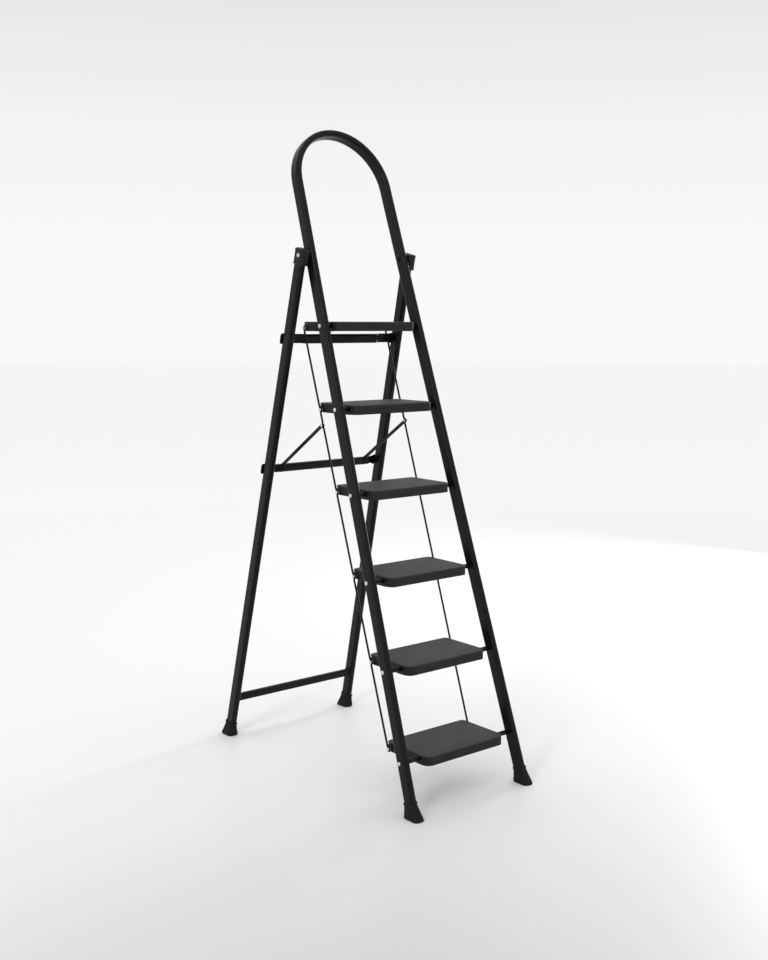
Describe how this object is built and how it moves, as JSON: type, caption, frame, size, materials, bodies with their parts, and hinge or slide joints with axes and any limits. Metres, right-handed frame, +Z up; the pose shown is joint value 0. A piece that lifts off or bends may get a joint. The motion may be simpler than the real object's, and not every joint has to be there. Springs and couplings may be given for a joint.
{
  "type": "library ladder",
  "caption": "Folding step ladder with a one-piece hooped front frame, hinged rear frame and wide treads that fold up together through side rods and diagonal links.",
  "frame": {"origin": "on the floor, at the middle of the footprint of the open ladder", "axes": "+Z up, +X to the right of someone about to climb, +Y from the climbing side to the rear frame"},
  "size_m": [0.5064, 0.9504, 1.8967],
  "materials": {
    "frame_paint": "black powder coat, satin",
    "arm_paint": "black powder coat, a little flatter than the frame",
    "tread_plastic": "charcoal moulded plastic, fine grain",
    "cap_plastic": "black moulded plastic",
    "foot_rubber": "black rubber",
    "rivet_steel": "bright zinc-plated steel"
  },
  "bodies": {
    "front_frame": {"front_tube": "frame_paint", "front_foot_left": "foot_rubber", "front_foot_right": "foot_rubber", "hinge_rivet_left": "rivet_steel", "hinge_rivet_right": "rivet_steel", "axle_1": "rivet_steel", "axle_2": "rivet_steel", "axle_3": "rivet_steel", "axle_4": "rivet_steel", "axle_5": "rivet_steel", "axle_6": "rivet_steel"},
    "rear_frame": {"rear_leg_left": "frame_paint", "rear_leg_right": "frame_paint", "rear_foot_left": "foot_rubber", "rear_foot_right": "foot_rubber", "hinge_cap_left": "cap_plastic", "hinge_cap_right": "cap_plastic", "crossbar_top": "frame_paint", "crossbar_middle": "frame_paint", "crossbar_bottom": "frame_paint", "link_pin_left": "rivet_steel", "link_pin_right": "rivet_steel"},
    "step_1": {"tread_1": "tread_plastic", "arm_left_1": "arm_paint", "arm_right_1": "arm_paint", "rod_pin_left_1": "rivet_steel", "rod_pin_right_1": "rivet_steel"},
    "step_2": {"tread_2": "tread_plastic", "arm_left_2": "arm_paint", "arm_right_2": "arm_paint", "rod_pin_left_2": "rivet_steel", "rod_pin_right_2": "rivet_steel"},
    "step_3": {"tread_3": "tread_plastic", "arm_left_3": "arm_paint", "arm_right_3": "arm_paint", "rod_pin_left_3": "rivet_steel", "rod_pin_right_3": "rivet_steel"},
    "step_4": {"tread_4": "tread_plastic", "arm_left_4": "arm_paint", "arm_right_4": "arm_paint", "rod_pin_left_4": "rivet_steel", "rod_pin_right_4": "rivet_steel"},
    "step_5": {"tread_5": "tread_plastic", "arm_left_5": "arm_paint", "arm_right_5": "arm_paint", "rod_pin_left_5": "rivet_steel", "rod_pin_right_5": "rivet_steel"},
    "step_6": {"tread_6": "tread_plastic", "arm_left_6": "arm_paint", "arm_right_6": "arm_paint", "rod_pin_left_6": "rivet_steel", "rod_pin_right_6": "rivet_steel"},
    "rod_left": {"step_rod_left": "frame_paint", "rod_stud_left": "rivet_steel"},
    "diagonal_link_left": {"link_left": "frame_paint", "link_stud_left": "rivet_steel"},
    "rod_right": {"step_rod_right": "frame_paint", "rod_stud_right": "rivet_steel"},
    "diagonal_link_right": {"link_right": "frame_paint", "link_stud_right": "rivet_steel"}
  },
  "joints": [
    {"name": "frame_fold", "type": "hinge", "parent": "front_frame", "child": "rear_frame", "pos_m": [0, 0.06841, 1.5156], "axis": [-1, 0, 0], "range_deg": [0, 30]},
    {"name": "step_1_fold", "type": "hinge", "parent": "front_frame", "child": "step_1", "pos_m": [0, -0.39083, 0.1405], "axis": [1, 0, 0], "range_deg": [0, 66]},
    {"name": "step_2_fold", "type": "hinge", "parent": "front_frame", "child": "step_2", "pos_m": [0, -0.31161, 0.3755], "axis": [1, 0, 0], "range_deg": [0, 66]},
    {"name": "step_3_fold", "type": "hinge", "parent": "front_frame", "child": "step_3", "pos_m": [0, -0.2324, 0.6105], "axis": [1, 0, 0], "range_deg": [0, 66]},
    {"name": "step_4_fold", "type": "hinge", "parent": "front_frame", "child": "step_4", "pos_m": [0, -0.15318, 0.8455], "axis": [1, 0, 0], "range_deg": [0, 66]},
    {"name": "step_5_fold", "type": "hinge", "parent": "front_frame", "child": "step_5", "pos_m": [0, -0.07396, 1.0805], "axis": [1, 0, 0], "range_deg": [0, 66]},
    {"name": "step_6_fold", "type": "hinge", "parent": "front_frame", "child": "step_6", "pos_m": [0, 0.00526, 1.3155], "axis": [1, 0, 0], "range_deg": [0, 66]},
    {"name": "rod_left_swing", "type": "hinge", "parent": "step_3", "child": "rod_left", "pos_m": [-0.1545, -0.1111, 0.603], "axis": [-1, 0, 0], "range_deg": [0, 66]},
    {"name": "rod_right_swing", "type": "hinge", "parent": "step_3", "child": "rod_right", "pos_m": [0.1545, -0.1111, 0.603], "axis": [-1, 0, 0], "range_deg": [0, 66]},
    {"name": "link_left_swing", "type": "hinge", "parent": "rear_frame", "child": "diagonal_link_left", "pos_m": [-0.1594, 0.24539, 0.88815], "axis": [-1, 0, 0], "range_deg": [0, 39.64]},
    {"name": "link_right_swing", "type": "hinge", "parent": "rear_frame", "child": "diagonal_link_right", "pos_m": [0.1594, 0.24539, 0.88815], "axis": [-1, 0, 0], "range_deg": [0, 39.64]}
  ],
  "couplings": [
    {"joint": "step_1_fold", "follows": "frame_fold", "ratio": 2.2},
    {"joint": "step_2_fold", "follows": "frame_fold", "ratio": 2.2},
    {"joint": "step_3_fold", "follows": "frame_fold", "ratio": 2.2},
    {"joint": "step_4_fold", "follows": "frame_fold", "ratio": 2.2},
    {"joint": "step_5_fold", "follows": "frame_fold", "ratio": 2.2},
    {"joint": "step_6_fold", "follows": "frame_fold", "ratio": 2.2},
    {"joint": "rod_left_swing", "follows": "frame_fold", "ratio": 2.2},
    {"joint": "rod_right_swing", "follows": "frame_fold", "ratio": 2.2},
    {"joint": "link_left_swing", "follows": "frame_fold", "ratio": 1.3213},
    {"joint": "link_right_swing", "follows": "frame_fold", "ratio": 1.3213}
  ]
}
